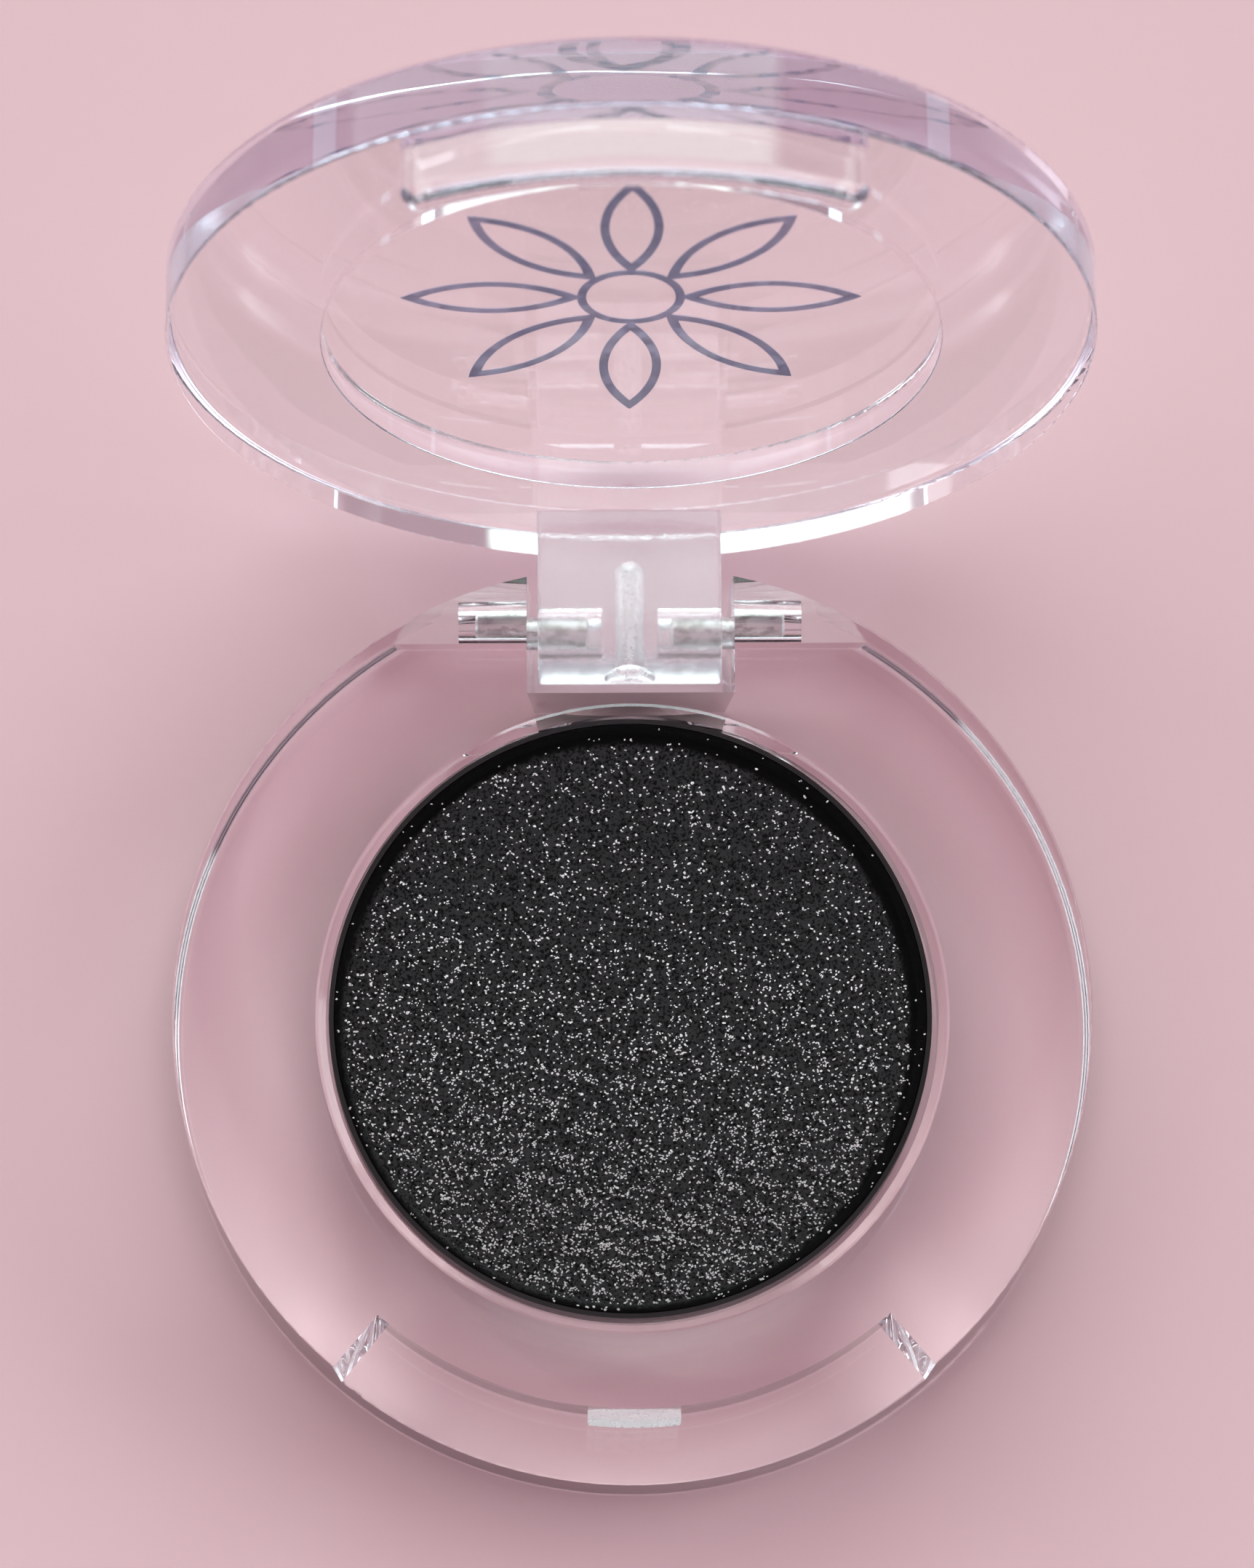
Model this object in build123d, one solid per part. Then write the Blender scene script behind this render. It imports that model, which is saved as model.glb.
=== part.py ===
from build123d import *

import os
from math import asin, degrees, radians, tan

# Round single-colour eyeshadow compact in clear plastic, with its lid standing open.
# Frame: origin at the centre of the base's underside, +Z up, the finger recess towards -Y,
# the hinge along X at the rear. Every size is in millimetres and every angle in degrees.
# Every piece of the lid is drawn closed, flat on the base, and turned open at the end.

os.makedirs("parts", exist_ok=True)

# ---- case ----
case_radius = 28.2
base_height = 14.2
foot_round = 0.5
top_edge_round = 0.15
lid_thickness = 4.8
parting_gap = 0.03                   # between the two faces when the case is shut
lid_edge_round = 0.5
lid_face_round = 0.2
lid_pocket_radius = 18.8
lid_pocket_depth = 1.85
open_angle = 109.5

# ---- hinge ----
axis_y = 24.8
axis_drop = 7.0                      # axis below the face where the base and the lid meet
axis_z = base_height - axis_drop
notch_half_width = 6.4
notch_draft = 2.0
notch_front_y = 20.1
knuckle_radius = 3.15
block_half_width = 5.7
block_edge_round = 0.3
ear_crown_start_y = 24.5             # rear of here the ears fall away, so that the lid can swing
ear_crown_radius = 5.0
ear_under_radius = 3.3
rear_flat_y = 24.1                   # flat wall under the ears
pin_radius = 1.0
pin_length = 7.0
pin_inner_x = 2.55
pin_edge_round = 0.15
block_bore_radius = 1.04
block_bore_inner_x = 1.75
ear_bore_outer_x = 10.6
core_radius = 0.87                   # blind core that keeps the block's wall even
core_depth = 6.6
core_mouth_radius = 1.6
core_mouth_depth = 0.7

# ---- finger recess and catch ----
recess_inner_radius = 24.0
recess_half_angle = 40.7             # at the top face
recess_floor_half_angle = 39.5
recess_depth = 6.2
catch_half_width = 2.85
catch_reach = 1.05
catch_edge_height = 0.2
catch_top_drop = 0.1                 # catch starts this far below the top face
catch_tip_drop = 1.6
catch_foot_drop = 2.4
catch_corner_round = 0.4
insert_mark_half_width = 3.45        # panel that the mould's insert leaves on the recess floor
insert_mark_height = 0.05
insert_mark_margin = 0.15            # from the panel's front end to the case's wall

# ---- latch tab on the lid ----
tab_inner_radius = 25.5
tab_outer_radius = 28.0
tab_half_angle = 30.4
tab_length = 4.25
tab_edge_round = 1.0
nib_half_width = 3.3
nib_reach = 0.2                      # how far the nib stands out of the tab's inner wall
nib_height = 0.9
nib_tip_gap = 0.4

# ---- pan and powder ----
well_mouth_radius = 19.28
well_lip_chamfer = 0.15
well_radius = 18.8
well_lead_depth = 1.2                # the wall tapers in to well_radius over this depth
adhesive_thickness = 0.15
pan_radius = 18.5
pan_height = 4.0
pan_wall = 0.3
pan_rim_drop = 1.05                  # rim of the pan below the base's top face
pan_offset = (-0.12, 0.12)           # the pan is glued in by hand, a little off centre
powder_gap = 0.02
powder_rise = 0.05                   # the cake's edge stands this far above the pan's rim
powder_face_radius = 17.75           # inside this the press has pushed the cake lower
powder_face_drop = 0.4
powder_edge_round = 0.1
well_depth = pan_rim_drop + pan_height + adhesive_thickness

# ---- printed ornament on the lid's outer face ----
ink_thickness = 0.04
ink_stroke = 0.55
petal_count = 8
petal_start_radius = 3.0
petal_end_radius = 14.0
petal_half_width = 1.9
hub_radius = 3.0

margin = 1.0                         # how far a cutting solid runs past what it cuts


def disc(radius, z_low, z_high):
    """Upright cylinder between two heights."""
    return Pos(0, 0, z_low) * Cylinder(radius, z_high - z_low, align=(Align.CENTER, Align.CENTER, Align.MIN))


def block(x_low, x_high, y_low, y_high, z_low, z_high):
    """Box between two corners."""
    size = (x_high - x_low, y_high - y_low, z_high - z_low)
    return Pos(x_low, y_low, z_low) * Box(*size, align=(Align.MIN, Align.MIN, Align.MIN))


def rod_along_x(radius, x_low, x_high, y, z):
    """Cylinder along X between two ends."""
    rod = Cylinder(radius, x_high - x_low, align=(Align.CENTER, Align.CENTER, Align.MIN))
    return Pos(x_low, y, z) * Rot(0, 90, 0) * rod


def both_sides(shape):
    """The shape and its mirror image across the YZ plane."""
    return shape + shape.mirror(Plane.YZ)


def front_triangle(half_angle, reach):
    """Triangle on the XY plane from the Z axis towards -Y, wider than a disc of the given reach."""
    length = 2 * reach
    side = length * tan(radians(half_angle))
    return Polygon((0, 0), (-side, -length), (side, -length), align=None)


def ring_sector(inner, outer, half_angle, z_low, z_high):
    """Part of a ring, centred on -Y, between two radial walls."""
    ring = Circle(outer) - Circle(inner)
    return Pos(0, 0, z_low) * extrude(ring & front_triangle(half_angle, outer), z_high - z_low)


def round_edges(solid, radius, wanted):
    """Round the edges that the given test picks out."""
    return fillet([edge for edge in solid.edges() if wanted(edge)], radius)


def circle_at(radius, z):
    """Test for a circular edge of one radius at one height."""
    def wanted(edge):
        return (
            edge.geom_type == GeomType.CIRCLE
            and abs(edge.radius - radius) < 1e-4
            and abs(edge.center().Z - z) < 1e-4
            and abs(edge.bounding_box().size.Z) < 1e-4
        )
    return wanted


# ---------------------------------------------------------------- base

def pan_well():
    """Well for the pan: a chamfered lip, a tapered lead-in and a straight wall."""
    top = base_height
    profile = Polyline(
        (0, top + margin),
        (well_mouth_radius + well_lip_chamfer, top + margin),
        (well_mouth_radius + well_lip_chamfer, top),
        (well_mouth_radius, top - well_lip_chamfer),
        (well_radius, top - well_lead_depth),
        (well_radius, top - well_depth),
        (0, top - well_depth),
        close=True,
    )
    return revolve(Plane.XZ * make_face(profile), Axis.Z)


def hinge_notch():
    """Slot through the rear of the base for the lid's hinge block, narrower at the foot."""
    foot_half_width = notch_half_width - base_height * tan(radians(notch_draft))
    outline = Polyline(
        (-foot_half_width, 0),
        (foot_half_width, 0),
        (notch_half_width, base_height),
        (-notch_half_width, base_height),
        close=True,
    )
    slot = extrude(Plane.XZ * make_face(outline), -(case_radius + margin))
    return slot - block(-case_radius, case_radius, -margin, notch_front_y, -margin, base_height + margin)


def ear_crown_waste():
    """What comes off the top of the ears, behind the crown's start, so that the lid can swing."""
    rear = case_radius + margin
    corner = block(-case_radius, case_radius, ear_crown_start_y, rear,
                   base_height - ear_crown_radius, base_height + margin)
    crown = rod_along_x(ear_crown_radius, -case_radius, case_radius,
                        ear_crown_start_y, base_height - ear_crown_radius)
    return corner - crown


def rear_foot_waste():
    """What comes off below the ears: a flat wall, and a round under the hinge axis."""
    rear = case_radius + margin
    corner = block(-case_radius, case_radius, rear_flat_y, rear, -margin, axis_z)
    knuckle = rod_along_x(ear_under_radius, -case_radius, case_radius, axis_y, axis_z)
    return corner - knuckle


def finger_recess():
    """Recess in the front rim, with side walls that lean in towards its floor."""
    reach = case_radius + margin
    floor = base_height - recess_depth
    sector = loft([
        Pos(0, 0, floor) * front_triangle(recess_floor_half_angle, reach),
        Pos(0, 0, base_height) * front_triangle(recess_half_angle, reach),
    ])
    return (sector & disc(reach, floor, base_height)) - disc(recess_inner_radius, floor, base_height)


def catch():
    """Wedge on the recess's inner wall that the lid's nib snaps past."""
    top = base_height
    root = recess_inner_radius - margin
    tip = recess_inner_radius + catch_reach
    profile = Polyline(
        (-root, top - catch_top_drop),
        (-recess_inner_radius, top - catch_top_drop),
        (-tip, top - catch_tip_drop + catch_edge_height),
        (-tip, top - catch_tip_drop),
        (-recess_inner_radius, top - catch_foot_drop),
        (-root, top - catch_foot_drop),
        close=True,
    )
    turned = revolve(Plane.YZ * make_face(profile), Axis.Z)
    plan = block(-catch_half_width, catch_half_width, -tip, -root, 0, base_height)
    corners = [edge for edge in plan.edges().filter_by(Axis.Z) if edge.center().Y < -recess_inner_radius]
    return turned & fillet(corners, catch_corner_round)


def insert_mark():
    """Faint raised outline on the recess floor, left by the mould's insert."""
    floor = base_height - recess_depth
    outer = case_radius - insert_mark_margin
    strip = block(-insert_mark_half_width, insert_mark_half_width, -outer, -recess_inner_radius + margin,
                  floor - margin, floor + insert_mark_height)
    return strip & disc(outer, 0, base_height)


def make_base():
    body = disc(case_radius, 0, base_height)
    body = round_edges(body, top_edge_round, circle_at(case_radius, base_height))
    body = round_edges(body, foot_round, circle_at(case_radius, 0))
    body -= pan_well()
    body -= finger_recess()
    body += insert_mark()
    body += catch()
    body -= hinge_notch()
    body -= ear_crown_waste()
    body -= rear_foot_waste()
    ear_bore = rod_along_x(pin_radius, -ear_bore_outer_x, ear_bore_outer_x, axis_y, axis_z)
    return body - ear_bore


# ---------------------------------------------------------------- lid

def lid_disc():
    """Clear disc with a round pocket in its inner face."""
    face = base_height + parting_gap
    top = base_height + lid_thickness
    body = disc(case_radius, face, top)
    body = round_edges(body, lid_edge_round, circle_at(case_radius, top))
    body = round_edges(body, lid_face_round, circle_at(case_radius, face))
    body -= disc(lid_pocket_radius, face - margin, base_height + lid_pocket_depth)
    return round_edges(body, lid_face_round / 2, circle_at(lid_pocket_radius, face))


def hinge_block():
    """Block that hangs from the lid into the notch, with a round end about the hinge axis."""
    root = base_height + margin
    outline = Polyline(
        (axis_y - knuckle_radius, root),
        (axis_y - knuckle_radius, axis_z),
        (axis_y + knuckle_radius, axis_z),
        (axis_y + knuckle_radius, root),
        close=True,
    )
    section = make_face(outline) + Pos(axis_y, axis_z) * Circle(knuckle_radius)
    body = extrude(Plane.YZ * section, block_half_width, both=True)
    ends = [edge for edge in body.edges() if abs(abs(edge.center().X) - block_half_width) < 1e-4]
    sides = [edge for edge in ends if edge.center().Z < base_height + margin / 2]
    body = fillet(sides, block_edge_round)
    return body & disc(case_radius - lid_face_round, 0, root)


def block_core():
    """Blind core up the middle of the block, with a round end and a dished mouth."""
    end_z = axis_z - knuckle_radius
    shaft = Pos(0, axis_y, end_z - margin) * Cylinder(
        core_radius, core_depth + margin, align=(Align.CENTER, Align.CENTER, Align.MIN)
    )
    tip = Pos(0, axis_y, end_z + core_depth) * Sphere(core_radius)
    dish_radius = (core_mouth_radius ** 2 + core_mouth_depth ** 2) / (2 * core_mouth_depth)
    dish = Pos(0, axis_y, end_z + core_mouth_depth - dish_radius) * Sphere(dish_radius)
    return shaft + tip + dish


def latch_tab():
    """Curved tab under the lid's front edge, which drops into the finger recess."""
    face = base_height
    body = ring_sector(tab_inner_radius, tab_outer_radius, tab_half_angle, face - tab_length, face + margin)
    tip = [edge for edge in body.edges() if edge.center().Z < face + margin / 2]
    return fillet(tip, tab_edge_round)


def tab_nib():
    """Small nib inside the tab's lower edge, which meets the catch."""
    low = base_height - tab_length + nib_tip_gap
    inner = tab_inner_radius - nib_reach
    half_angle = degrees(asin(nib_half_width / inner))
    return ring_sector(inner, tab_inner_radius + tab_edge_round, half_angle, low, low + nib_height)


def make_lid():
    body = lid_disc()
    body += latch_tab()
    body += tab_nib()
    body += hinge_block()
    body -= block_core()
    bore = rod_along_x(block_bore_radius, block_bore_inner_x, block_half_width + margin, axis_y, axis_z)
    return body - both_sides(bore)


def lens(start, end, half_width):
    """Pointed oval along X, made of two arcs."""
    half_length = (end - start) / 2
    radius = (half_length ** 2 + half_width ** 2) / (2 * half_width)
    middle = (start + end) / 2
    upper = Pos(middle, half_width - radius) * Circle(radius)
    lower = Pos(middle, radius - half_width) * Circle(radius)
    return upper & lower


def open_petal():
    """One slender petal along X, drawn as a line."""
    outer = lens(petal_start_radius, petal_end_radius, petal_half_width)
    inner = lens(petal_start_radius + 2 * ink_stroke, petal_end_radius - 2 * ink_stroke,
                 petal_half_width - ink_stroke)
    return outer - inner


def make_lid_print():
    """Plain flower of open petals round a ring, printed on the lid's outer face."""
    art = Circle(hub_radius + ink_stroke / 2) - Circle(hub_radius - ink_stroke / 2)
    for index in range(petal_count):
        art += Rot(0, 0, index * 360 / petal_count) * open_petal()
    return Pos(0, 0, base_height + lid_thickness) * extrude(art, ink_thickness)


# ---------------------------------------------------------------- small pieces

def make_pin(side):
    """Steel hinge pin: pressed into an ear, running in the lid's block."""
    pin = rod_along_x(pin_radius, pin_inner_x, pin_inner_x + pin_length, axis_y, axis_z)
    pin = chamfer(pin.edges().filter_by(GeomType.CIRCLE), pin_edge_round)
    return pin if side > 0 else pin.mirror(Plane.YZ)


def make_adhesive():
    """Adhesive disc between the pan and the well's floor."""
    floor = base_height - well_depth
    return Pos(*pan_offset, 0) * disc(pan_radius - 2 * pan_wall, floor, floor + adhesive_thickness)


def make_pan():
    """Pressed metal pan with a rounded bottom edge."""
    low = base_height - well_depth + adhesive_thickness
    body = disc(pan_radius, low, low + pan_height)
    body = round_edges(body, 2 * pan_wall, circle_at(pan_radius, low))
    hollow = disc(pan_radius - pan_wall, low + pan_wall, low + pan_height + margin)
    hollow = round_edges(hollow, pan_wall, circle_at(pan_radius - pan_wall, low + pan_wall))
    return Pos(*pan_offset, 0) * (body - hollow)


def make_powder():
    """Pressed cake of powder that fills the pan, pushed lower inside a narrow edge."""
    low = base_height - well_depth + adhesive_thickness + pan_wall + powder_gap
    high = base_height - pan_rim_drop + powder_rise
    radius = pan_radius - pan_wall - powder_gap
    body = disc(radius, low, high) - disc(powder_face_radius, high - powder_face_drop, high + margin)
    body = round_edges(body, pan_wall, circle_at(radius, low))
    body = round_edges(body, powder_edge_round, circle_at(radius, high))
    body = round_edges(body, powder_edge_round, circle_at(powder_face_radius, high))
    return Pos(*pan_offset, 0) * body


def open_lid(shape):
    """Turn a piece of the lid about the hinge axis from closed to open."""
    hinge_axis = Axis((0, axis_y, axis_z), (-1, 0, 0))
    return shape.rotate(hinge_axis, open_angle)


def main():
    pieces = {
        "base": make_base(),
        "lid": open_lid(make_lid()),
        "lid_print": open_lid(make_lid_print()),
        "hinge_pin_left": make_pin(-1),
        "hinge_pin_right": make_pin(1),
        "pan": make_pan(),
        "pressed_powder": make_powder(),
        "pan_adhesive": make_adhesive(),
    }
    for name, shape in pieces.items():
        export_step(shape, f"parts/{name}.step")


main()
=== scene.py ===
import math
import random

import bmesh
import bpy
from mathutils import Matrix, Vector, noise


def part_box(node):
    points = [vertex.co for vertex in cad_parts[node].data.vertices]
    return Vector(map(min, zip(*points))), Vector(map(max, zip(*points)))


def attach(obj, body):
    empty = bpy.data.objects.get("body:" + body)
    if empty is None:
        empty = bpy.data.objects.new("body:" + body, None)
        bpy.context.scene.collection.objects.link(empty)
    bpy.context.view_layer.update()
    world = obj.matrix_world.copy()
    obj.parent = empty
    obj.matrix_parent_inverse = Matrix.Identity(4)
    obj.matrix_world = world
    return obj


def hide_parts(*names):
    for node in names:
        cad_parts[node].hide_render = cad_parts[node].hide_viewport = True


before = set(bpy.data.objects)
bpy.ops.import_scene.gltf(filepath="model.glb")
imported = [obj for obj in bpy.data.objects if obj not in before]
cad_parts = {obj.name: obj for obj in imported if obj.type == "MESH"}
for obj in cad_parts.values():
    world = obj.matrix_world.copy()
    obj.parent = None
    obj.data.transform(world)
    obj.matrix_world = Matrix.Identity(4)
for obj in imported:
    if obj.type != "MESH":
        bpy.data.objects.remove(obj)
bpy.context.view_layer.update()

# Looks of a clear plastic eyeshadow compact. Lengths are in metres, MM turns millimetres into them,
# and directions are the CAD's: +Z up, -Y to the front.
MM = 0.001
random.seed(7)

# ---- camera: in front of the compact and high above it, almost looking straight down ----
CAMERA_PLACE = Vector((-7.4, -86.3, 764.2)) * MM
CAMERA_TILT = math.radians(7.65)
CAMERA_PAN = math.radians(0.54)
CAMERA_ROLL = math.radians(-0.22)
SENSOR = 36.0                        # longer side of the picture on the sensor, in millimetres
LENS = 283.024
F_STOP = 34.0
CLIP_NEAR = 0.05
CLIP_FAR = 20

# ---- clear plastic ----
PLASTIC_IOR = 1.57
TINT = (0.66, 0.64, 1.0)
BASE_TINT_DENSITY = 1.5
LID_TINT_DENSITY = 6.0
OPEN_ANGLE = 109.5                   # degrees that the lid stands open by
HINGE_Y = 24.8 * MM
HINGE_Z = 7.2 * MM
# the lid's hinge block, measured from the hinge axis as if the lid were shut
CORE_REACH = 1.1 * MM
CORE_END = 4.6 * MM
BLOCK_HALF_WIDTH = 5.75 * MM
BLOCK_HALF_DEPTH = 3.25 * MM
BLOCK_ROOT = 6.9 * MM
BLOCK_HAZE = 0.5                     # roughness of the block's faces, where 1 is frosted
FROST_WHITE = 0.45                   # share of light that frosted plastic scatters back
CATCH_LOW = Vector((-2.9, -25.1, 11.75)) * MM
CATCH_HIGH = Vector((2.9, -24.02, 14.15)) * MM
CATCH_SOFT_EDGE = 0.05 * MM

# ---- powder ----
FACE_RADIUS = 17.75 * MM             # flat face of the cake, inside its raised edge
FACE_DROP = 0.4 * MM
EDGE_SLOPE = 0.12 * MM
EDGE_ROUND = 0.12 * MM
LIP_DROP = 0.08 * MM
LIP_ROUND = 0.05 * MM
CROWN_START = 0.2 * MM
CROWN_GRAIN = 0.8                    # share of the grain's relief that the raised edge has
GRAIN_HEIGHT = 0.035 * MM
GRAIN_WAVES = ((5.0, 1.0), (11.0, 0.6))      # waves per millimetre, share of the height
RING_PITCH = 0.16 * MM
RING_POINTS = 420
FLECK_COUNT = 9000
FLECK_SIZE = (0.04 * MM, 0.11 * MM)
FLECK_USUAL_SIZE = FLECK_SIZE[0] * 1.2
FLECK_THICKNESS = 0.02 * MM
FLECK_LIFT = 0.006 * MM
FLECK_SIDES = (5, 7)
FLECK_RAGGED = (0.7, 1.15)           # each corner's reach as a share of the size
FLECK_STRETCH = (1.0, 1.5)
FLECK_TILT = 0.3                     # radians
FLECK_TURN = 0.7                     # radians, spread about the sideways direction
SPARSE_SHARE = 0.3                   # share of the flecks that stay on the raised edge and in the painted shadow at the cake's edge
FRONT_START = 7.0                    # from this Y, in millimetres, the flecks thicken to the front
FRONT_LENGTH = 22.0
# patterns of flecks: noise waves per millimetre along X and along Y, and the layer of noise used
CLUMPS = (1.1, 1.1, 3.0)
RUNS = (0.55, 2.6, 9.0)
FINE_CLUMPS = (3.0, 3.0, 5.0)
# painted shade: flecks in front of the first Y are dimmed by the share, as if they caught less of the
# light from the rear, and those behind the second are not
FLECK_SHADE_FROM = -15 * MM
FLECK_SHADE_TO = 3 * MM
FLECK_SHADE_SHARE = 0.45
# painted shadow: beyond this radius about a point just off its middle, the cake's edge is painted dark
# as the shadow of the pan's rim, and keeps few flecks
PAINTED_SHADOW_SHIFT = Vector((-0.3, -0.42, 0)) * MM
PAINTED_SHADOW_RADIUS = 17.4 * MM
PAINTED_SHADOW_RAGGED = 0.5 * MM
PAINTED_SHADOW_SOFT_EDGE = 0.45 * MM

# ---- floor ----
FLOOR_REACH = 3.0
FLOOR_DROP = 0.02 * MM
PAPER_REACH = 0.5                    # the pink paper that the plastic shows by reflection ends here

# ---- studio: soft boxes round the table ----
# Azimuth is in degrees from the rear (+Y) towards the right (+X) and elevation is above the horizon.
# Each box adds its colour to the room's.
SOFT_BOXES = (
    # azimuth low, high, elevation low, high, edge, colour
    (-36, 36, 2, 18, 4, (1.6, 2.2, 2.1)),
    (-36, 36, 18, 52, 4, (1.9, 2.5, 2.3)),
    (-36, 36, 52, 72, 5, (0.7, 0.9, 0.8)),
    (-66, -36, 4, 36, 4, (1.2, 1.4, 1.35)),
    (-66, -36, 36, 64, 5, (0.3, 0.3, 0.2)),
    (-132, -66, 11, 28, 3, (2.3, 2.5, 2.5)),
    (60, 91, 11, 52, 3, (2.1, 2.4, 2.35)),
    (91, 112, 11, 30, 3, (2.1, 2.4, 2.35)),
    (60, 91, 0, 11, 3, (0.9, 0.7, 0.75)),
    (152, 208, 0, 13, 3, (3.6, 5.0, 5.0)),
)
ROOM_COLOUR = (0.45, 0.31, 0.36)
TABLE_EDGE_COLOUR = (1.5, 1.95, 2.2)
BACKDROP_COLOUR = (0.74, 0.56, 0.6)
HORIZON_SOFT = 0.005                 # radians

# ---- colours of the opaque pieces ----
INK_DARK = (0.3, 0.27, 0.4, 1)
INK_LIGHT = (0.38, 0.35, 0.49, 1)
STEEL_STAINED = (0.5, 0.49, 0.47, 1)
STEEL_BRIGHT = (0.86, 0.86, 0.85, 1)
PAN_BLACK = (0.004, 0.004, 0.005, 1)
# painted shade in the hollows between the powder's grains
POWDER_PIT_SHADE = (0.001, 0.001, 0.001, 1)
POWDER_GRAIN = (0.03, 0.03, 0.031, 1)
# painted shadow of the pan's rim along the cake's edge
POWDER_PAINTED_SHADOW = (0.0012, 0.0012, 0.0012, 1)
FLECK_DULL = (0.72, 0.72, 0.73, 1)
FLECK_BRIGHT = (1.0, 1.0, 1.0, 1)
FLECK_SPECK = (0.45, 0.45, 0.46, 1)
# painted shade for the flecks towards the front
FLECK_PAINTED_SHADE = (0.12, 0.12, 0.12, 1)
ADHESIVE_DARK = (0.02, 0.02, 0.02, 1)
ADHESIVE_LIGHT = (0.06, 0.06, 0.06, 1)
PAPER_DARK = (0.735, 0.51, 0.545, 1)
PAPER_LIGHT = (0.765, 0.54, 0.575, 1)


# ---------------------------------------------------------------- node helpers

def new_material(name):
    """Empty node material with its Principled shader."""
    material = bpy.data.materials.new(name)
    material.use_nodes = True
    tree = material.node_tree
    return material, tree, tree.nodes["Principled BSDF"]


def add_node(tree, kind, **settings):
    """Node of one kind; keyword settings are node attributes or, when given as inputs, socket values."""
    node = tree.nodes.new(kind)
    inputs = settings.pop("inputs", {})
    for key, value in settings.items():
        setattr(node, key, value)
    for key, value in inputs.items():
        if isinstance(value, bpy.types.NodeSocket):
            tree.links.new(value, node.inputs[key])
        else:
            node.inputs[key].default_value = value
    return node


def calc(tree, operation, a, b=0.0, c=0.0, clamp=False):
    """Maths node; a, b and c are numbers or sockets."""
    return add_node(
        tree, "ShaderNodeMath", operation=operation, use_clamp=clamp, inputs={0: a, 1: b, 2: c}
    ).outputs[0]


def smooth_step(tree, value, low, high):
    """0 below low, 1 above high, smooth between."""
    return add_node(
        tree,
        "ShaderNodeMapRange",
        interpolation_type="SMOOTHSTEP",
        inputs={"Value": value, "From Min": low, "From Max": high},
    ).outputs["Result"]


def window(tree, value, low, high, soft):
    """1 between low and high with soft ends."""
    rise = smooth_step(tree, value, low - soft, low + soft)
    fall = smooth_step(tree, value, high - soft, high + soft)
    return calc(tree, "SUBTRACT", rise, fall, clamp=True)


def mix_colour(tree, factor, first, second):
    """Colour between two colours; each may be a socket."""
    return add_node(
        tree, "ShaderNodeMix", data_type="RGBA", inputs={"Factor": factor, 6: first, 7: second}
    ).outputs[2]


def object_point(tree):
    """Place on the piece in the CAD's frame, in metres."""
    return add_node(tree, "ShaderNodeTexCoord").outputs["Object"]


def noise_of(tree, vector, scale, detail=2.0, roughness=0.5):
    """Cloudy noise from 0 to 1, with scale cells in a metre."""
    return add_node(
        tree,
        "ShaderNodeTexNoise",
        inputs={"Vector": vector, "Scale": scale, "Detail": detail, "Roughness": roughness},
    ).outputs["Fac"]


def spread(tree, value, low, high):
    """Value from 0 to 1, laid out from low to high."""
    return calc(tree, "MULTIPLY_ADD", value, high - low, low)


def calc_vector(tree, operation, first, second):
    """Vector maths node that gives a vector; each input is a vector or a socket."""
    return add_node(
        tree, "ShaderNodeVectorMath", operation=operation, inputs={0: first, 1: second}
    ).outputs[0]


def length_of(tree, vector):
    """Length of a vector, as a socket."""
    return add_node(
        tree, "ShaderNodeVectorMath", operation="LENGTH", inputs={0: vector}
    ).outputs["Value"]


def stretched(tree, vector, scale):
    """Vector multiplied by a scale for each axis."""
    return calc_vector(tree, "MULTIPLY", vector, scale)


def bump(tree, height, distance, strength=1.0, normal=None):
    """Normal tilted by a height from 0 to 1, where 1 stands out by distance."""
    inputs = {"Height": height, "Distance": distance, "Strength": strength}
    if normal is not None:
        inputs["Normal"] = normal
    return add_node(tree, "ShaderNodeBump", inputs=inputs).outputs["Normal"]


# ---------------------------------------------------------------- materials

def lid_axes(tree, split):
    """Distances from the hinge axis as the closed lid would have them: towards its rear, and upward."""
    lean = math.radians(OPEN_ANGLE)
    y = calc(tree, "SUBTRACT", split.outputs["Y"], HINGE_Y)
    z = calc(tree, "SUBTRACT", split.outputs["Z"], HINGE_Z)
    rearward_z = calc(tree, "MULTIPLY", z, -math.sin(lean))
    rearward = calc(tree, "MULTIPLY_ADD", y, math.cos(lean), rearward_z)
    upward_z = calc(tree, "MULTIPLY", z, math.cos(lean))
    upward = calc(tree, "MULTIPLY_ADD", y, math.sin(lean), upward_z)
    return rearward, upward


def inside_box(tree, split, low, high, soft):
    """1 inside a box between two corners, fading out over soft."""
    inside = 1.0
    for axis, start, end in zip("XYZ", low, high):
        inside = calc(tree, "MULTIPLY", inside, window(tree, split.outputs[axis], start, end, soft))
    return inside


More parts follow.
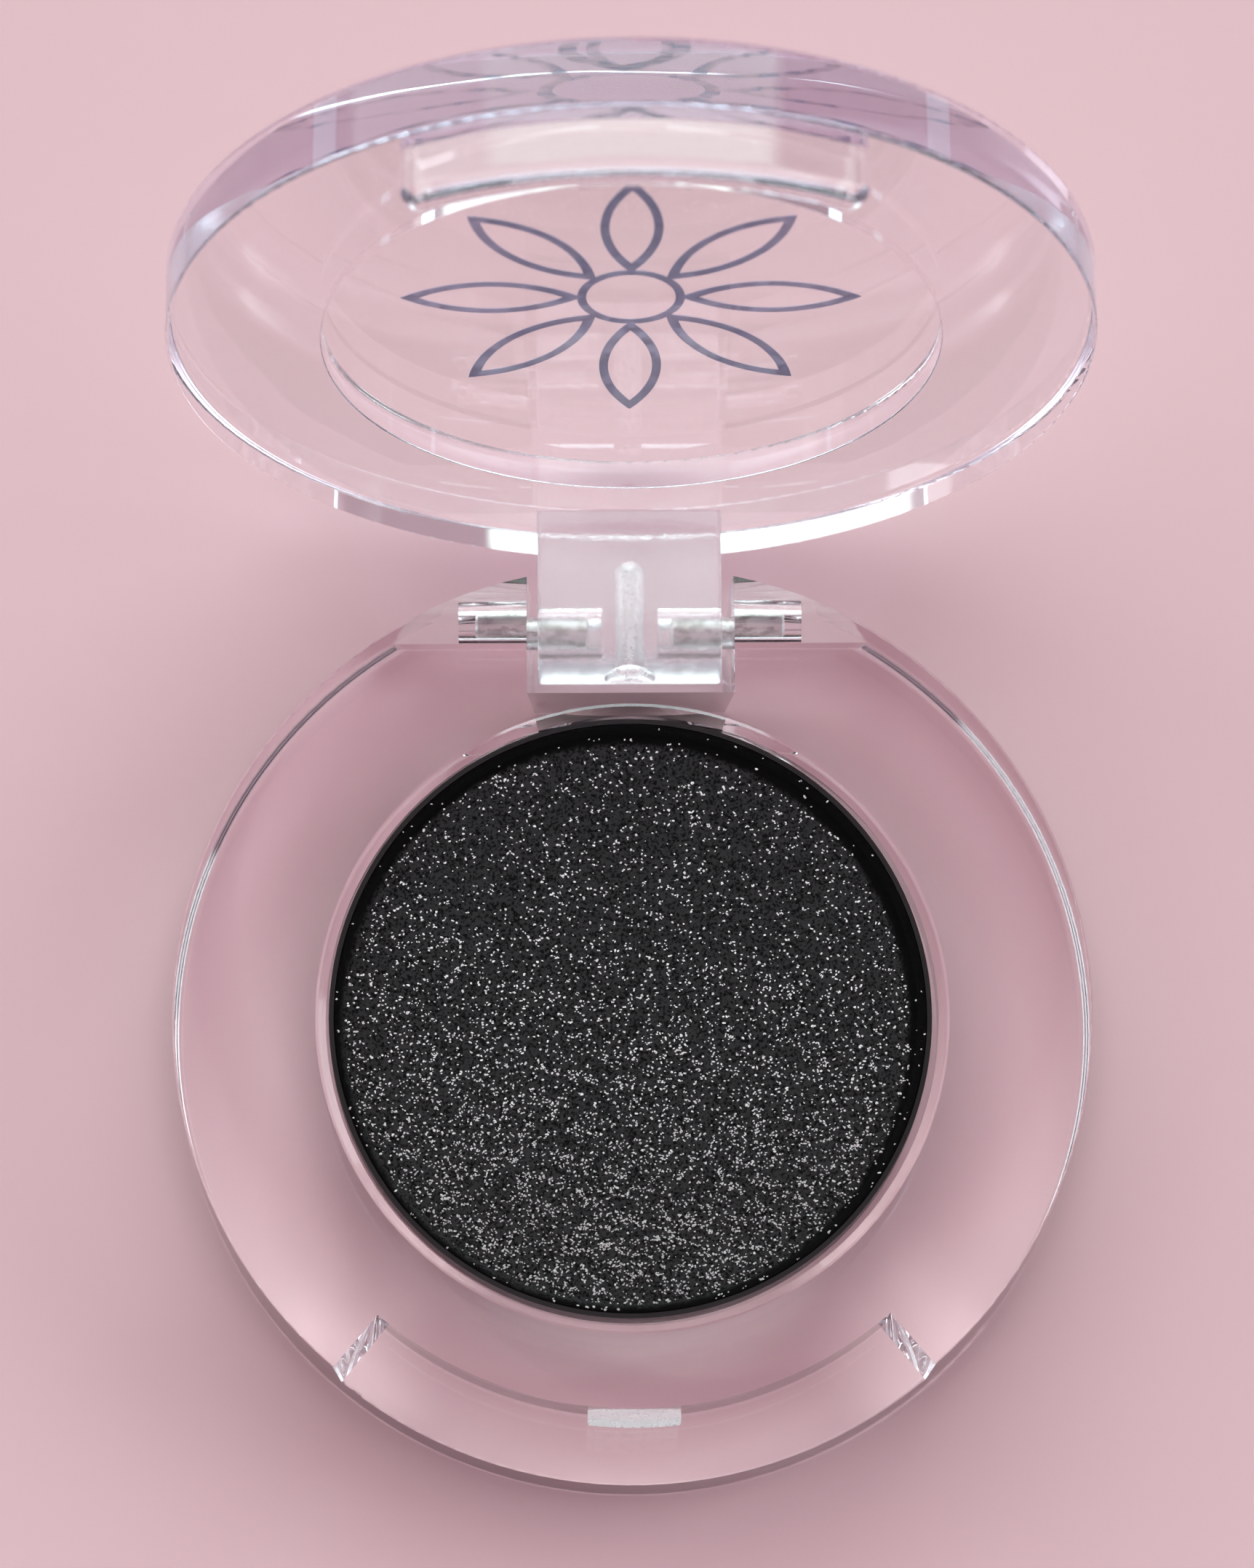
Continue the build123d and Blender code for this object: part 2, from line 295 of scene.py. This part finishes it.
def clear_plastic(name, tint_density, frosted):
    """Polished clear plastic with a violet tint in its depth and faint flow waves in its faces.

    frosted(tree, split) gives where the mould was left rough."""
    material, tree, shader = new_material(name)
    point = object_point(tree)
    split = add_node(tree, "ShaderNodeSeparateXYZ", inputs={0: point})
    waves = noise_of(tree, point, scale=90.0, detail=1.0)
    hairlines = noise_of(tree, stretched(tree, point, (1.0, 1.0, 0.06)), scale=9000.0, detail=1.0)
    etch = noise_of(tree, point, scale=2600.0, detail=3.0, roughness=0.65)
    worn = spread(tree, smooth_step(tree, hairlines, low=0.62, high=0.8), low=0.0, high=0.05)
    rough_area = frosted(tree, split)
    frost = spread(tree, etch, low=0.1, high=0.5)
    rough = calc(tree, "MULTIPLY_ADD", rough_area, frost, worn)
    shader.inputs["Base Color"].default_value = (1, 1, 1, 1)
    shader.inputs["IOR"].default_value = PLASTIC_IOR
    milky = calc(tree, "MULTIPLY", rough_area, rough_area)
    clear = spread(tree, milky, low=1.0, high=1.0 - FROST_WHITE)
    tree.links.new(clear, shader.inputs["Transmission Weight"])
    tree.links.new(rough, shader.inputs["Roughness"])
    flow = bump(tree, waves, distance=0.02 * MM)
    pitted = calc(tree, "MULTIPLY", etch, rough_area)
    grain = bump(tree, pitted, distance=0.06 * MM, strength=0.8, normal=flow)
    tree.links.new(grain, shader.inputs["Normal"])
    depth = add_node(
        tree, "ShaderNodeVolumeAbsorption", inputs={"Color": (*TINT, 1), "Density": tint_density}
    )
    tree.links.new(depth.outputs[0], tree.nodes["Material Output"].inputs["Volume"])
    return material


def frosted_catch(tree, split):
    """Rough faces of the base's catch."""
    return inside_box(tree, split, CATCH_LOW, CATCH_HIGH, CATCH_SOFT_EDGE)


def frosted_block(tree, split):
    """The lid's hinge block: its blind core is rough, and its faces have a little haze."""
    rearward, upward = lid_axes(tree, split)
    side = split.outputs["X"]
    squares = calc(tree, "MULTIPLY_ADD", side, side, calc(tree, "MULTIPLY", rearward, rearward))
    core = calc(tree, "LESS_THAN", calc(tree, "SQRT", squares), CORE_REACH)
    core_end = calc(tree, "LESS_THAN", upward, CORE_END)
    core_part = calc(tree, "MULTIPLY", core, core_end)
    within = calc(tree, "LESS_THAN", calc(tree, "ABSOLUTE", side), BLOCK_HALF_WIDTH)
    deep = calc(tree, "LESS_THAN", calc(tree, "ABSOLUTE", rearward), BLOCK_HALF_DEPTH)
    below = calc(tree, "LESS_THAN", upward, BLOCK_ROOT)
    block_part = calc(tree, "MULTIPLY", calc(tree, "MULTIPLY", within, deep), below)
    return calc(tree, "MAXIMUM", core_part, calc(tree, "MULTIPLY", block_part, BLOCK_HAZE))


def printed_ink():
    """Satin slate ink with a little unevenness."""
    material, tree, shader = new_material("print_ink")
    mottle = noise_of(tree, object_point(tree), scale=900.0, detail=4.0)
    colour = mix_colour(tree, mottle, INK_DARK, INK_LIGHT)
    tree.links.new(colour, shader.inputs["Base Color"])
    shader.inputs["Roughness"].default_value = 0.45
    tree.links.new(bump(tree, mottle, distance=0.005 * MM), shader.inputs["Normal"])
    return material


def ground_steel():
    """Steel with streaks along the pin and dull patches."""
    material, tree, shader = new_material("pin_steel")
    point = object_point(tree)
    lines = noise_of(tree, stretched(tree, point, (0.08, 1.0, 1.0)), scale=9000.0, detail=2.0)
    along = stretched(tree, point, (0.4, 1.0, 1.0))
    stains = noise_of(tree, along, scale=2600.0, detail=4.0, roughness=0.6)
    polished = smooth_step(tree, stains, low=0.36, high=0.56)
    colour = mix_colour(tree, polished, STEEL_STAINED, STEEL_BRIGHT)
    tree.links.new(colour, shader.inputs["Base Color"])
    shader.inputs["Metallic"].default_value = 1.0
    tree.links.new(spread(tree, lines, low=0.25, high=0.5), shader.inputs["Roughness"])
    tree.links.new(bump(tree, lines, distance=0.004 * MM), shader.inputs["Normal"])
    return material


def black_pan():
    """Black painted metal with fine orange peel."""
    material, tree, shader = new_material("pan_metal")
    peel = noise_of(tree, object_point(tree), scale=2500.0, detail=2.0)
    shader.inputs["Base Color"].default_value = PAN_BLACK
    tree.links.new(spread(tree, peel, low=0.25, high=0.45), shader.inputs["Roughness"])
    tree.links.new(bump(tree, peel, distance=0.003 * MM), shader.inputs["Normal"])
    return material


def painted_edge_shadow(tree, point):
    """1 in the painted shadow of the pan's rim along the cake's edge: beyond a ragged circle a little
    off its middle.
    """
    low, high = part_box("pressed_powder")
    centre = (low + high) / 2 + PAINTED_SHADOW_SHIFT
    from_centre = calc_vector(tree, "SUBTRACT", point, centre)
    away = length_of(tree, stretched(tree, from_centre, (1.0, 1.0, 0.0)))
    ragged = calc(tree, "MULTIPLY_ADD", noise_of(tree, point, scale=1400.0), PAINTED_SHADOW_RAGGED, away)
    return smooth_step(tree, ragged, PAINTED_SHADOW_RADIUS, PAINTED_SHADOW_RADIUS + PAINTED_SHADOW_SOFT_EDGE)


def black_powder():
    """Matt black cake with dark pits between its grains, painted darker as shade in the hollows."""
    material, tree, shader = new_material("powder")
    point = object_point(tree)
    grains = add_node(tree, "ShaderNodeTexVoronoi", inputs={"Vector": point, "Scale": 7500.0})
    pits = noise_of(tree, point, scale=6000.0, detail=3.0, roughness=0.6)
    raised = smooth_step(tree, pits, low=0.38, high=0.56)
    # painted shade: the low pits of the relief are darker
    colour = mix_colour(tree, raised, POWDER_PIT_SHADE, POWDER_GRAIN)
    # painted shadow of the pan's rim along the cake's edge
    colour = mix_colour(tree, painted_edge_shadow(tree, point), colour, POWDER_PAINTED_SHADOW)
    tree.links.new(colour, shader.inputs["Base Color"])
    shader.inputs["Roughness"].default_value = 0.9
    shader.inputs["Specular IOR Level"].default_value = 0.1
    height = calc(tree, "ADD", grains.outputs["Distance"], pits)
    relief = bump(tree, height, distance=0.03 * MM, strength=0.6)
    tree.links.new(relief, shader.inputs["Normal"])
    return material


def silver_fleck():
    """Pearl flake; every flake is a little brighter or darker than the next, and painted dimmer at the
    front as shade from the rear light.
    """
    material, tree, shader = new_material("fleck")
    chance = add_node(tree, "ShaderNodeNewGeometry").outputs["Random Per Island"]
    point = object_point(tree)
    speckle = noise_of(tree, point, scale=12000.0, detail=2.0)
    colour = mix_colour(tree, chance, FLECK_DULL, FLECK_BRIGHT)
    clean = smooth_step(tree, speckle, low=0.3, high=0.5)
    full = mix_colour(tree, clean, FLECK_SPECK, colour)
    # painted shade: the flecks towards the front are dimmed
    painted_shade_colour = mix_colour(tree, FLECK_SHADE_SHARE, full, FLECK_PAINTED_SHADE)
    y = add_node(tree, "ShaderNodeSeparateXYZ", inputs={0: point}).outputs["Y"]
    rear = smooth_step(tree, y, FLECK_SHADE_FROM, FLECK_SHADE_TO)
    tree.links.new(mix_colour(tree, rear, painted_shade_colour, full), shader.inputs["Base Color"])
    shader.inputs["Metallic"].default_value = 0.3
    shader.inputs["Roughness"].default_value = 0.35
    return material


def soft_adhesive():
    """Milky adhesive layer with trapped air."""
    material, tree, shader = new_material("adhesive")
    bubbles = noise_of(tree, object_point(tree), scale=1800.0, detail=3.0)
    colour = mix_colour(tree, bubbles, ADHESIVE_DARK, ADHESIVE_LIGHT)
    tree.links.new(colour, shader.inputs["Base Color"])
    shader.inputs["Roughness"].default_value = 0.7
    tree.links.new(bump(tree, bubbles, distance=0.01 * MM), shader.inputs["Normal"])
    return material


def pale_paper():
    """Pale pink paper. Away from the camera's own rays it is only as big as a studio's sheet."""
    material, tree, shader = new_material("floor_paper")
    place = add_node(tree, "ShaderNodeNewGeometry").outputs["Position"]
    cloud = noise_of(tree, place, scale=9.0, detail=2.0)
    grain = noise_of(tree, place, scale=2600.0, detail=3.0)
    colour = mix_colour(tree, cloud, PAPER_DARK, PAPER_LIGHT)
    tree.links.new(colour, shader.inputs["Base Color"])
    shader.inputs["Roughness"].default_value = 0.95
    shader.inputs["Specular IOR Level"].default_value = 0.1
    tree.links.new(bump(tree, grain, distance=0.02 * MM, strength=0.4), shader.inputs["Normal"])
    beyond = calc(tree, "GREATER_THAN", length_of(tree, place), PAPER_REACH)
    seen = add_node(tree, "ShaderNodeLightPath").outputs["Is Camera Ray"]
    unseen = calc(tree, "SUBTRACT", 1.0, seen)
    absent = calc(tree, "MULTIPLY", beyond, unseen)
    clear = add_node(tree, "ShaderNodeBsdfTransparent").outputs[0]
    mixed = add_node(
        tree, "ShaderNodeMixShader", inputs={0: absent, 1: shader.outputs[0], 2: clear}
    )
    tree.links.new(mixed.outputs[0], tree.nodes["Material Output"].inputs["Surface"])
    return material


# ---------------------------------------------------------------- pieces

def new_piece(name, mesh, material, smooth=True):
    """Object made from a bmesh, which is freed."""
    bmesh.ops.recalc_face_normals(mesh, faces=mesh.faces)
    data = bpy.data.meshes.new(name)
    mesh.to_mesh(data)
    mesh.free()
    data.materials.append(material)
    for polygon in data.polygons:
        polygon.use_smooth = smooth
    piece = bpy.data.objects.new(name, data)
    bpy.context.scene.collection.objects.link(piece)
    return piece


def dress(node, material):
    """Gives a carried-over CAD node its material."""
    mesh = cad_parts[node].data
    mesh.materials.clear()
    mesh.materials.append(material)


def grain_height(x, y):
    """Relief of the pressed grains at a point."""
    point = Vector((x, y, 0.0)) / MM
    return GRAIN_HEIGHT * sum(share * noise.noise(point * waves) for waves, share in GRAIN_WAVES)


def cake_profile(low, high, outer):
    """Radius, height and share of grain of the cake's rings, from its middle outward and underneath."""
    face = high - FACE_DROP
    rings = round(FACE_RADIUS / RING_PITCH)
    points = [(ring * RING_PITCH, face, 1.0) for ring in range(1, rings)]
    # up the step to the raised edge and over its lip
    points.append((FACE_RADIUS - EDGE_SLOPE, face + LIP_DROP / 4, 0.8))
    points.append((FACE_RADIUS, high - LIP_DROP, 0.5))
    points.append((FACE_RADIUS + LIP_ROUND, high - LIP_ROUND / 5, 0.6))
    # along the raised edge and over its outer round
    points.append((FACE_RADIUS + CROWN_START, high, CROWN_GRAIN))
    points.append((outer - EDGE_ROUND, high, 0.6))
    points.append((outer - 0.3 * EDGE_ROUND, high - 0.3 * EDGE_ROUND, 0.2))
    points.append((outer, high - EDGE_ROUND, 0.0))
    # down the side to the underside
    points.append((outer, low + 2 * EDGE_ROUND, 0.0))
    points.append((outer - 2 * EDGE_ROUND, low, 0.0))
    return points


def make_powder(material):
    """The cake as one closed mesh with its grains raised."""
    low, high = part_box("pressed_powder")
    centre = (low + high) / 2
    outer = (high.x - low.x) / 2
    mesh = bmesh.new()
    rows = []
    for radius, height, share in cake_profile(low.z, high.z - GRAIN_HEIGHT, outer):
        row = []
        for step in range(RING_POINTS):
            angle = 2 * math.pi * step / RING_POINTS
            x = radius * math.cos(angle)
            y = radius * math.sin(angle)
            z = height + share * grain_height(x, y)
            row.append(mesh.verts.new((centre.x + x, centre.y + y, z)))
        rows.append(row)
    for inner_row, outer_row in zip(rows, rows[1:]):
        for step in range(RING_POINTS):
            after = (step + 1) % RING_POINTS
            mesh.faces.new((inner_row[step], outer_row[step], outer_row[after], inner_row[after]))
    top = mesh.verts.new((centre.x, centre.y, high.z - GRAIN_HEIGHT - FACE_DROP))
    for step in range(RING_POINTS):
        mesh.faces.new((rows[0][(step + 1) % RING_POINTS], top, rows[0][step]))
    mesh.faces.new(rows[-1])
    piece = new_piece("powder_cake", mesh, material)
    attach(piece, "base")
    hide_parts("pressed_powder")


def noise_at(x, y, pattern):
    """Noise from -1 to 1 at a point in millimetres."""
    waves_x, waves_y, layer = pattern
    return noise.noise(Vector((x * waves_x, y * waves_y, layer)))


def fleck_chance(x, y):
    """Chance of a fleck at a point in millimetres: in clumps, and in sideways runs towards the front."""
    front = min(1.0, max(0.0, (FRONT_START - y) / FRONT_LENGTH))
    even = 0.15 + 0.36 * front
    clumps = (0.2 + 0.2 * front) * noise_at(x, y, CLUMPS)
    runs = 0.6 * front * noise_at(x, y, RUNS)
    return even + clumps + runs + 0.25 * noise_at(x, y, FINE_CLUMPS)


def add_fleck(mesh, centre, size, stretch, turn):
    """Flake: an irregular flat double pyramid."""
    sides = random.randint(*FLECK_SIDES)
    tilt_x = Matrix.Rotation(random.uniform(-FLECK_TILT, FLECK_TILT), 3, "X")
    tilt_y = Matrix.Rotation(random.uniform(-FLECK_TILT, FLECK_TILT), 3, "Y")
    tilt = tilt_x @ tilt_y
    spin = Matrix.Rotation(turn, 3, "Z")
    ring = []
    for side in range(sides):
        angle = 2 * math.pi * side / sides
        reach = size * random.uniform(*FLECK_RAGGED)
        offset = Vector((reach * stretch * math.cos(angle), reach / stretch * math.sin(angle), 0))
        ring.append(mesh.verts.new(centre + tilt @ (spin @ offset)))
    above = mesh.verts.new(centre + tilt @ Vector((0, 0, FLECK_THICKNESS)))
    below = mesh.verts.new(centre - tilt @ Vector((0, 0, FLECK_THICKNESS)))
    for side in range(sides):
        after = (side + 1) % sides
        mesh.faces.new((ring[side], ring[after], above))
        mesh.faces.new((ring[after], ring[side], below))


def takes_fleck(x, y, rim):
    """Whether a fleck stays at a point of the cake, drawn by chance."""
    radius = math.hypot(x, y)
    on_step = FACE_RADIUS - EDGE_SLOPE < radius < FACE_RADIUS + EDGE_SLOPE
    if radius > rim or on_step or random.random() > fleck_chance(x / MM, y / MM):
        return False
    # the painted shadow at the cake's edge keeps few flecks, so that it stays dark
    in_painted_shadow = math.hypot(x - PAINTED_SHADOW_SHIFT.x, y - PAINTED_SHADOW_SHIFT.y) > PAINTED_SHADOW_RADIUS
    sparse = in_painted_shadow or radius > FACE_RADIUS
    return not sparse or random.random() <= SPARSE_SHARE


def make_flecks(material):
    """Silver flecks pressed into the cake's face."""
    low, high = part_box("pressed_powder")
    middle = (low + high) / 2
    rim = (high.x - low.x) / 2 - FLECK_SIZE[1]
    crown = high.z - GRAIN_HEIGHT
    mesh = bmesh.new()
    placed = 0
    while placed < FLECK_COUNT:
        x = random.uniform(-rim, rim)
        y = random.uniform(-rim, rim)
        if not takes_fleck(x, y, rim):
            continue
        if math.hypot(x, y) < FACE_RADIUS:
            height = crown - FACE_DROP + grain_height(x, y)
        else:
            height = crown + CROWN_GRAIN * grain_height(x, y)
        size = random.triangular(*FLECK_SIZE, FLECK_USUAL_SIZE)
        stretch = random.uniform(*FLECK_STRETCH)
        centre = Vector((middle.x + x, middle.y + y, height + FLECK_LIFT))
        add_fleck(mesh, centre, size, stretch, random.gauss(0, FLECK_TURN))
        placed += 1
    piece = new_piece("powder_flecks", mesh, material, smooth=False)
    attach(piece, "base")


# ---------------------------------------------------------------- stage

def make_floor():
    """Wide floor under the compact."""
    mesh = bmesh.new()
    corners = ((-1, -1), (1, -1), (1, 1), (-1, 1))
    verts = [mesh.verts.new((x * FLOOR_REACH, y * FLOOR_REACH, -FLOOR_DROP)) for x, y in corners]
    mesh.faces.new(verts)
    floor = new_piece("floor", mesh, pale_paper(), smooth=False)


def make_camera():
    """Long lens, focused on the powder."""
    data = bpy.data.cameras.new("camera")
    data.sensor_width = SENSOR
    data.lens = LENS
    data.clip_start = CLIP_NEAR
    data.clip_end = CLIP_FAR
    camera = bpy.data.objects.new("camera", data)
    bpy.context.scene.collection.objects.link(camera)
    turn = (
        Matrix.Rotation(CAMERA_TILT, 4, "X")
        @ Matrix.Rotation(-CAMERA_PAN, 4, "Y")
        @ Matrix.Rotation(CAMERA_ROLL, 4, "Z")
    )
    camera.matrix_world = Matrix.Translation(CAMERA_PLACE) @ turn
    focus = bpy.data.objects.new("focus", None)
    bpy.context.scene.collection.objects.link(focus)
    low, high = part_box("pressed_powder")
    focus.location = ((low.x + high.x) / 2, (low.y + high.y) / 2, high.z)
    data.dof.use_dof = True
    data.dof.focus_object = focus
    data.dof.aperture_fstop = F_STOP
    bpy.context.scene.camera = camera


def box_light(tree, split, azimuth, elevation, soft_box):
    """Colour that one soft box adds in a direction."""
    az_low, az_high, el_low, el_high, edge, tint = soft_box
    degree = math.radians(1)
    if az_high > 180:
        # a box across the front, where azimuth jumps from 180 to -180, is counted from the front
        azimuth = calc(
            tree,
            "ARCTAN2",
            calc(tree, "MULTIPLY", split.outputs["X"], -1.0),
            calc(tree, "MULTIPLY", split.outputs["Y"], -1.0),
        )
        az_low -= 180
        az_high -= 180
    across = window(tree, azimuth, az_low * degree, az_high * degree, edge * degree / 2)
    upward = window(tree, elevation, el_low * degree, el_high * degree, edge * degree / 2)
    inside = calc(tree, "MULTIPLY", across, upward)
    return mix_colour(tree, inside, (0, 0, 0, 1), (*tint, 1))


def make_world():
    """Studio: dim room, soft boxes and a bright table edge below the horizon."""
    world = bpy.data.worlds.new("studio")
    bpy.context.scene.world = world
    world.use_nodes = True
    tree = world.node_tree
    direction = add_node(tree, "ShaderNodeTexCoord").outputs["Generated"]
    split = add_node(tree, "ShaderNodeSeparateXYZ", inputs={0: direction})
    azimuth = calc(tree, "ARCTAN2", split.outputs["X"], split.outputs["Y"])
    elevation = calc(tree, "ARCSINE", split.outputs["Z"])
    above = smooth_step(tree, elevation, -HORIZON_SOFT, HORIZON_SOFT)
    colour = mix_colour(tree, above, (*TABLE_EDGE_COLOUR, 1), (*ROOM_COLOUR, 1))
    for soft_box in SOFT_BOXES:
        light = box_light(tree, split, azimuth, elevation, soft_box)
        colour = calc_vector(tree, "ADD", colour, light)
    seen = add_node(tree, "ShaderNodeLightPath").outputs["Is Camera Ray"]
    colour = mix_colour(tree, seen, colour, (*BACKDROP_COLOUR, 1))
    tree.links.new(colour, tree.nodes["Background"].inputs["Color"])


def tune_render():
    """Colour and light paths that clear plastic needs."""
    scene = bpy.context.scene
    scene.view_settings.view_transform = "Standard"
    scene.cycles.max_bounces = 24
    scene.cycles.transmission_bounces = 24
    scene.cycles.glossy_bounces = 20
    scene.cycles.diffuse_bounces = 4
    scene.cycles.transparent_max_bounces = 16
    scene.cycles.blur_glossy = 0.0
    scene.cycles.sample_clamp_indirect = 12.0
    scene.cycles.use_denoising = True


steel = ground_steel()
dress("base", clear_plastic("clear_plastic_base", BASE_TINT_DENSITY, frosted_catch))
dress("lid", clear_plastic("clear_plastic_lid", LID_TINT_DENSITY, frosted_block))
dress("lid_print", printed_ink())
dress("hinge_pin_left", steel)
dress("hinge_pin_right", steel)
dress("pan", black_pan())
dress("pan_adhesive", soft_adhesive())
make_powder(black_powder())
make_flecks(silver_fleck())
make_floor()
make_camera()
make_world()
tune_render()
